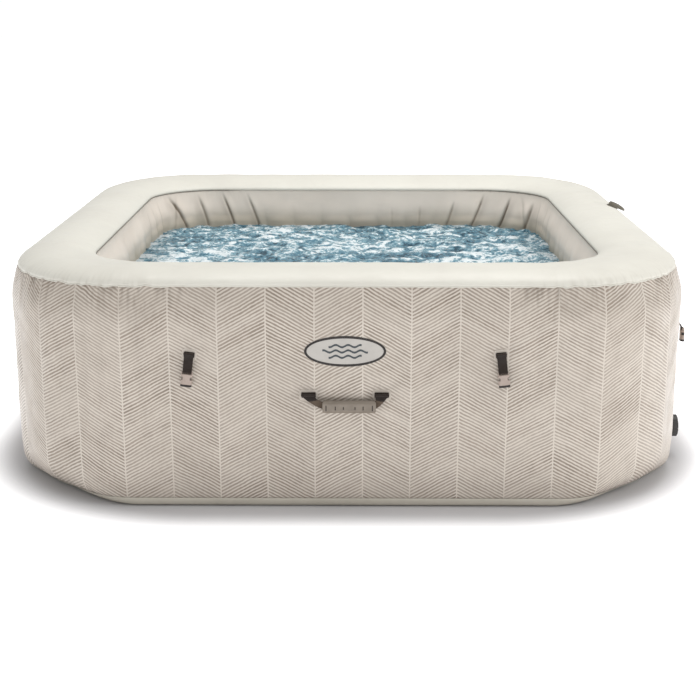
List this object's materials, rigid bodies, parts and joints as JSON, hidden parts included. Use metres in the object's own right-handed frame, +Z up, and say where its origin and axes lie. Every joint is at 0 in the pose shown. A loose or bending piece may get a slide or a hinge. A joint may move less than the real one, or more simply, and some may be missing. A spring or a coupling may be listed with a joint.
{
  "type": "inflatable hot tub",
  "caption": "Square inflatable hot tub with a printed outer wall, padded rim, cover straps, swinging handles, valves and water ports.",
  "frame": {"origin": "middle of the base, at ground level", "axes": "+Z up; the front wall, with the badge and one handle, faces -Y; the water ports, valves and drain are on the +X wall"},
  "size_m": [2.1758, 2.166, 0.717],
  "materials": {
    "printed_vinyl": "printed herringbone laminate",
    "rim_vinyl": "satin cream laminate",
    "base_vinyl": "plain taupe laminate",
    "pool_vinyl": "satin pool laminate",
    "web_fabric": "white scrim",
    "webbing": "dark brown woven webbing",
    "buckle_plastic": "moulded, satin",
    "grip_plastic": "moulded, matte",
    "fitting_plastic": "moulded, fine texture",
    "valve_plastic": "moulded",
    "gasket_rubber": "black rubber",
    "badge_border": "printed border",
    "badge_face": "printed face",
    "badge_print": "printed waves"
  },
  "bodies": {
    "tub": {"outer_wall": "printed_vinyl", "rim_panel": "rim_vinyl", "base_skirt": "base_vinyl", "base_panel": "base_vinyl", "floor_liner": "pool_vinyl", "pool_wall": "pool_vinyl", "tension_webs": "web_fabric", "bubble_channel": "pool_vinyl", "air_duct": "web_fabric", "badge_border": "badge_border", "badge_panel": "badge_face", "badge_waves": "badge_print", "strap_anchors": "webbing", "handle_anchors": "webbing", "inlet_port": "fitting_plastic", "outlet_port": "fitting_plastic", "port_gaskets": "gasket_rubber", "drain_port": "fitting_plastic", "drain_gasket": "gasket_rubber", "drain_screen": "fitting_plastic", "valve_body": "fitting_plastic", "air_inlet_base": "fitting_plastic"},
    "front_strap_l": {"front_strap_l": "webbing"},
    "front_buckle_l": {"front_buckle_l": "buckle_plastic"},
    "front_strap_r": {"front_strap_r": "webbing"},
    "front_buckle_r": {"front_buckle_r": "buckle_plastic"},
    "right_strap_l": {"right_strap_l": "webbing"},
    "right_buckle_l": {"right_buckle_l": "buckle_plastic"},
    "right_strap_r": {"right_strap_r": "webbing"},
    "right_buckle_r": {"right_buckle_r": "buckle_plastic"},
    "back_strap_l": {"back_strap_l": "webbing"},
    "back_buckle_l": {"back_buckle_l": "buckle_plastic"},
    "back_strap_r": {"back_strap_r": "webbing"},
    "back_buckle_r": {"back_buckle_r": "buckle_plastic"},
    "left_strap_l": {"left_strap_l": "webbing"},
    "left_buckle_l": {"left_buckle_l": "buckle_plastic"},
    "left_strap_r": {"left_strap_r": "webbing"},
    "left_buckle_r": {"left_buckle_r": "buckle_plastic"},
    "front_handle": {"front_handle_strap": "webbing", "front_handle_grip": "grip_plastic"},
    "back_handle": {"back_handle_strap": "webbing", "back_handle_grip": "grip_plastic"},
    "inlet_plug": {"inlet_plug": "fitting_plastic"},
    "outlet_plug": {"outlet_plug": "fitting_plastic"},
    "drain_cap": {"drain_cap": "fitting_plastic"},
    "valve_cap": {"valve_cap": "fitting_plastic"},
    "air_inlet_hood": {"air_inlet_hood": "fitting_plastic"},
    "valve_stem": {"valve_stem": "valve_plastic"}
  },
  "joints": [
    {"name": "front_strap_l_swing", "type": "hinge", "parent": "tub", "child": "front_strap_l", "pos_m": [-0.452, -1.064, 0.478], "axis": [-0.9925, 0, 0.1219], "range_deg": [0, 120]},
    {"name": "front_buckle_l_swing", "type": "hinge", "parent": "front_strap_l", "child": "front_buckle_l", "pos_m": [-0.45854, -1.06964, 0.4247], "axis": [-0.9925, 0, 0.1219], "range_deg": [-8, 80]},
    {"name": "front_strap_r_swing", "type": "hinge", "parent": "tub", "child": "front_strap_r", "pos_m": [0.452, -1.064, 0.478], "axis": [-0.9925, 0, -0.1219], "range_deg": [0, 120]},
    {"name": "front_buckle_r_swing", "type": "hinge", "parent": "front_strap_r", "child": "front_buckle_r", "pos_m": [0.45854, -1.06964, 0.4247], "axis": [-0.9925, 0, -0.1219], "range_deg": [-8, 80]},
    {"name": "right_strap_l_swing", "type": "hinge", "parent": "tub", "child": "right_strap_l", "pos_m": [1.064, -0.575, 0.478], "axis": [0, -0.9925, 0.1219], "range_deg": [0, 120]},
    {"name": "right_buckle_l_swing", "type": "hinge", "parent": "right_strap_l", "child": "right_buckle_l", "pos_m": [1.0942, -0.58046, 0.43357], "axis": [0, -0.9925, 0.1219], "range_deg": [-8, 80]},
    {"name": "right_strap_r_swing", "type": "hinge", "parent": "tub", "child": "right_strap_r", "pos_m": [1.064, 0.575, 0.478], "axis": [0, -0.9925, -0.1219], "range_deg": [0, 120]},
    {"name": "right_buckle_r_swing", "type": "hinge", "parent": "right_strap_r", "child": "right_buckle_r", "pos_m": [1.0942, 0.58046, 0.43357], "axis": [0, -0.9925, -0.1219], "range_deg": [-8, 80]},
    {"name": "back_strap_l_swing", "type": "hinge", "parent": "tub", "child": "back_strap_l", "pos_m": [0.452, 1.064, 0.478], "axis": [0.9925, 0, 0.1219], "range_deg": [0, 120]},
    {"name": "back_buckle_l_swing", "type": "hinge", "parent": "back_strap_l", "child": "back_buckle_l", "pos_m": [0.45854, 1.06964, 0.4247], "axis": [0.9925, 0, 0.1219], "range_deg": [-8, 80]},
    {"name": "back_strap_r_swing", "type": "hinge", "parent": "tub", "child": "back_strap_r", "pos_m": [-0.452, 1.064, 0.478], "axis": [0.9925, 0, -0.1219], "range_deg": [0, 120]},
    {"name": "back_buckle_r_swing", "type": "hinge", "parent": "back_strap_r", "child": "back_buckle_r", "pos_m": [-0.45854, 1.06964, 0.4247], "axis": [0.9925, 0, -0.1219], "range_deg": [-8, 80]},
    {"name": "left_strap_l_swing", "type": "hinge", "parent": "tub", "child": "left_strap_l", "pos_m": [-1.064, 0.575, 0.478], "axis": [0, 0.9925, 0.1219], "range_deg": [0, 120]},
    {"name": "left_buckle_l_swing", "type": "hinge", "parent": "left_strap_l", "child": "left_buckle_l", "pos_m": [-1.06964, 0.58154, 0.4247], "axis": [0, 0.9925, 0.1219], "range_deg": [-8, 80]},
    {"name": "left_strap_r_swing", "type": "hinge", "parent": "tub", "child": "left_strap_r", "pos_m": [-1.064, -0.575, 0.478], "axis": [0, 0.9925, -0.1219], "range_deg": [0, 120]},
    {"name": "left_buckle_r_swing", "type": "hinge", "parent": "left_strap_r", "child": "left_buckle_r", "pos_m": [-1.06964, -0.58154, 0.4247], "axis": [0, 0.9925, -0.1219], "range_deg": [-8, 80]},
    {"name": "front_handle_swing", "type": "hinge", "parent": "tub", "child": "front_handle", "pos_m": [0, -1.072, 0.356], "axis": [-1, 0, 0], "range_deg": [0, 160]},
    {"name": "back_handle_swing", "type": "hinge", "parent": "tub", "child": "back_handle", "pos_m": [0, 1.072, 0.356], "axis": [1, 0, 0], "range_deg": [0, 160]},
    {"name": "inlet_plug_turn", "type": "hinge", "parent": "tub", "child": "inlet_plug", "pos_m": [0.78, -0.145, 0.235], "axis": [-1, 0, 0], "range_deg": [0, 450]},
    {"name": "outlet_plug_turn", "type": "hinge", "parent": "tub", "child": "outlet_plug", "pos_m": [0.78, 0.145, 0.235], "axis": [-1, 0, 0], "range_deg": [0, 450]},
    {"name": "drain_cap_turn", "type": "hinge", "parent": "tub", "child": "drain_cap", "pos_m": [1.09, -0.585, 0.1], "axis": [1, 0, 0], "range_deg": [0, 450]},
    {"name": "valve_cap_turn", "type": "hinge", "parent": "tub", "child": "valve_cap", "pos_m": [1.07, -0.29, 0.5], "axis": [1, 0, 0], "range_deg": [0, 450]},
    {"name": "air_inlet_hood_turn", "type": "hinge", "parent": "tub", "child": "air_inlet_hood", "pos_m": [1.01, 0.245, 0.697], "axis": [0.3746, 0, 0.9272], "range_deg": [-90, 90]},
    {"name": "valve_stem_push", "type": "slide", "parent": "tub", "child": "valve_stem", "axis": [-1, 0, 0], "range_m": [0, 0.006], "stiffness_N_per_m": 300}
  ]
}
